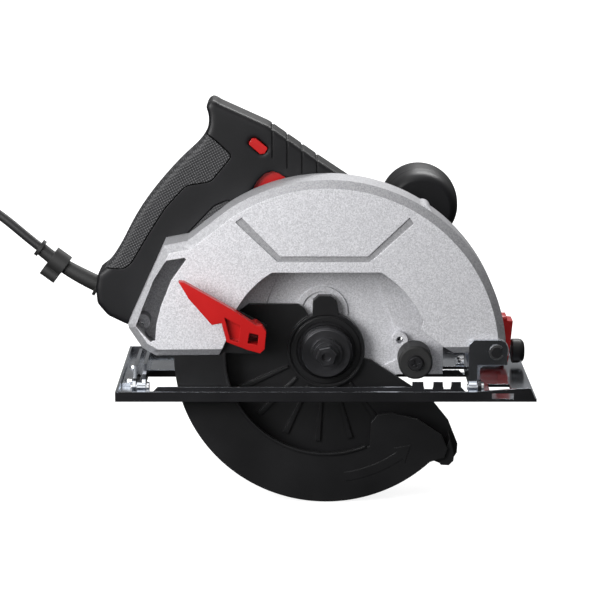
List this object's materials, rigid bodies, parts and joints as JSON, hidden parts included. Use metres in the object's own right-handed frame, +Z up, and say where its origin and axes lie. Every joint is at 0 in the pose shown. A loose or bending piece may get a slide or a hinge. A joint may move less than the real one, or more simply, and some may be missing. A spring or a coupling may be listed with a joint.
{
  "type": "circular saw",
  "caption": "Corded circular saw with a tilting, depth-adjustable base, sprung lower guard, rear trigger handle and front knob, shown with no blade fitted.",
  "frame": {"origin": "centre of the blade seat, on the arbor's axis", "axes": "+X to the front of the saw, along the cut; +Y along the arbor, towards the motor; +Z up, square to the sole"},
  "size_m": [0.4764, 0.228, 0.2587],
  "materials": {
    "silver_paint": "sparkling light silver paint over a die casting",
    "black_plastic": "fine-textured black glass-filled nylon",
    "grip_rubber": "soft black overmould with a woven pattern",
    "zinc_plate": "bright zinc plating on pressed steel",
    "black_guard": "satin black paint over a die casting",
    "dark_steel": "black oxide steel",
    "bright_steel": "bright nickel-plated steel",
    "red_plastic": "red moulded nylon",
    "black_rubber": "black rubber",
    "core_steel": "stacked electrical steel",
    "copper": "enamelled copper wire",
    "carbon": "carbon",
    "bearing_steel": "ground bearing steel",
    "spring_steel": "oil-tempered spring wire",
    "brass_parts": "brass",
    "cord_rubber": "black cord sheath, slightly rough",
    "plug_plastic": "black moulded plug"
  },
  "bodies": {
    "base": {"base_plate": "zinc_plate", "front_quadrant": "zinc_plate", "rear_bracket": "zinc_plate", "bracket_rivets": "bright_steel", "bevel_pivot_pins": "bright_steel"},
    "fence_screw": {"fence_clamp_screw": "bright_steel"},
    "tilt_frame": {"front_tilt_bracket": "zinc_plate", "rear_tilt_bracket": "zinc_plate", "depth_quadrant": "zinc_plate", "depth_pivot_pin": "dark_steel", "pivot_circlip": "spring_steel", "bevel_lock_bolt": "bright_steel"},
    "bevel_lever": {"bevel_lock_lever": "red_plastic", "bevel_lock_knob": "black_plastic"},
    "saw_body": {"guard_cover": "silver_paint", "gear_housing": "silver_paint", "cover_screws": "bright_steel", "guard_bumper": "black_rubber", "bumper_screw": "dark_steel", "guard_spring": "spring_steel", "motor_housing": "black_plastic", "motor_end_cap": "black_plastic", "stator_core": "core_steel", "field_coils": "copper", "brush_holders": "brass_parts", "brushes": "carbon", "brush_caps": "black_plastic", "motor_bearings": "bearing_steel", "arbor_bearings": "bearing_steel", "handle_near": "black_plastic", "handle_far": "black_plastic", "grip_overmold": "grip_rubber", "handle_screws": "dark_steel", "switch": "black_plastic", "depth_lock_bolt": "bright_steel", "knob_cap": "black_plastic", "front_knob": "black_plastic", "power_cord": "cord_rubber", "cord_coil": "cord_rubber", "strain_relief": "black_rubber", "key_holder": "black_rubber", "plug_body": "plug_plastic", "plug_pins": "brass_parts"},
    "lower_guard": {"lower_guard": "black_guard", "guard_lever": "red_plastic", "lever_rivets": "bright_steel"},
    "arbor": {"arbor_shaft": "dark_steel", "drive_gear": "dark_steel", "inner_flange": "dark_steel", "outer_flange": "dark_steel", "blade_bolt": "dark_steel"},
    "armature": {"armature_shaft": "bearing_steel", "armature_core": "core_steel", "armature_windings": "copper", "commutator": "copper", "cooling_fan": "black_plastic"},
    "trigger": {"trigger": "red_plastic"},
    "lock_button": {"lock_button": "red_plastic"},
    "spindle_lock": {"spindle_lock": "black_plastic"},
    "depth_lever": {"depth_lock_lever": "black_plastic"}
  },
  "joints": [
    {"name": "bevel_tilt", "type": "hinge", "parent": "base", "child": "tilt_frame", "pos_m": [0, -0.018, -0.0185], "axis": [1, 0, 0], "range_deg": [0, 45]},
    {"name": "depth_swing", "type": "hinge", "parent": "tilt_frame", "child": "saw_body", "pos_m": [0.108, 0, 0.0047], "axis": [0, 1, 0], "range_deg": [0, 30]},
    {"name": "fence_screw_turn", "type": "hinge", "parent": "base", "child": "fence_screw", "pos_m": [0.1115, 0.07, -0.015], "axis": [0, 0, 1], "range_deg": [-180, 180]},
    {"name": "bevel_lever_turn", "type": "hinge", "parent": "tilt_frame", "child": "bevel_lever", "pos_m": [0.11, 0.052, -0.0126], "axis": [1, 0, 0], "range_deg": [0, 60]},
    {"name": "guard_swing", "type": "hinge", "parent": "saw_body", "child": "lower_guard", "pos_m": [0, 0, 0], "axis": [0, 1, 0], "range_deg": [0, 110], "stiffness_Nm_per_rad": 0.15, "springref_deg": -45.84},
    {"name": "arbor_spin", "type": "hinge", "parent": "saw_body", "child": "arbor", "pos_m": [0, 0, 0], "axis": [0, 1, 0], "continuous": true},
    {"name": "motor_spin", "type": "hinge", "parent": "saw_body", "child": "armature", "pos_m": [-0.0026, 0.08, 0.02386], "axis": [0, 1, 0], "continuous": true},
    {"name": "trigger_pull", "type": "hinge", "parent": "saw_body", "child": "trigger", "pos_m": [-0.029, 0.03, 0.1165], "axis": [0, 1, 0], "range_deg": [0, 8], "stiffness_Nm_per_rad": 0.8, "springref_deg": -2.86},
    {"name": "lock_press", "type": "slide", "parent": "saw_body", "child": "lock_button", "axis": [0, 1, 0], "range_m": [0, 0.002], "stiffness_N_per_m": 500, "springref_m": -0.001},
    {"name": "spindle_press", "type": "slide", "parent": "saw_body", "child": "spindle_lock", "axis": [-1, 0, 0], "range_m": [0, 0.003], "stiffness_N_per_m": 500, "springref_m": -0.001},
    {"name": "depth_lever_turn", "type": "hinge", "parent": "saw_body", "child": "depth_lever", "pos_m": [-0.10054, 0.054, 0.02478], "axis": [0, 1, 0], "range_deg": [0, 50]}
  ],
  "couplings": [
    {"joint": "motor_spin", "follows": "arbor_spin", "ratio": -5}
  ]
}
